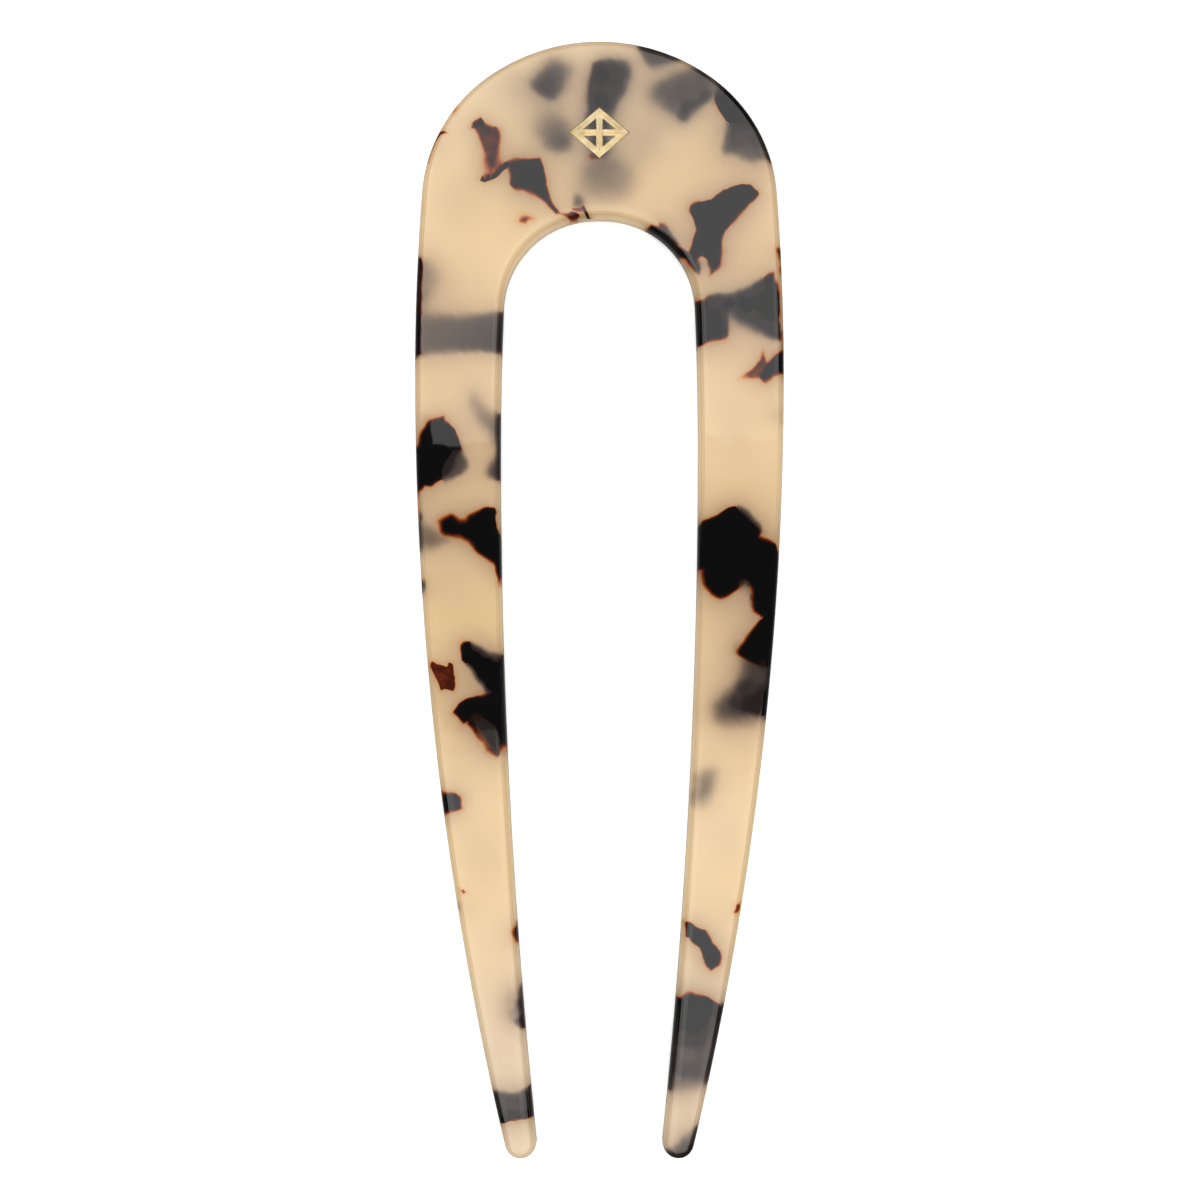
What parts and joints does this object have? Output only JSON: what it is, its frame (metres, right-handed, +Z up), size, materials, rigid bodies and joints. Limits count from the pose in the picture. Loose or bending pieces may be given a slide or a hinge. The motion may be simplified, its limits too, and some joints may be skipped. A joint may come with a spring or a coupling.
{
  "type": "french hair pin",
  "caption": "Flat U-shaped hair pin of polished tortoiseshell acetate, with a domed crown, tapering prongs with round tips and a small lozenge ornament set into the crown.",
  "frame": {"origin": "middle of the bounding box, on the surface that the pin lies on", "axes": "+Z up through the sheet, towards the face with the ornament; +Y along the pin to the crown, so the tips point along -Y"},
  "size_m": [0.0464, 0.14, 0.0041],
  "materials": {
    "acetate": "polished blonde tortoiseshell with dark brown flakes",
    "gold": "satin pale gold"
  },
  "bodies": {
    "root": {"pin_body": "acetate", "gold_inlay": "gold"}
  },
  "joints": []
}
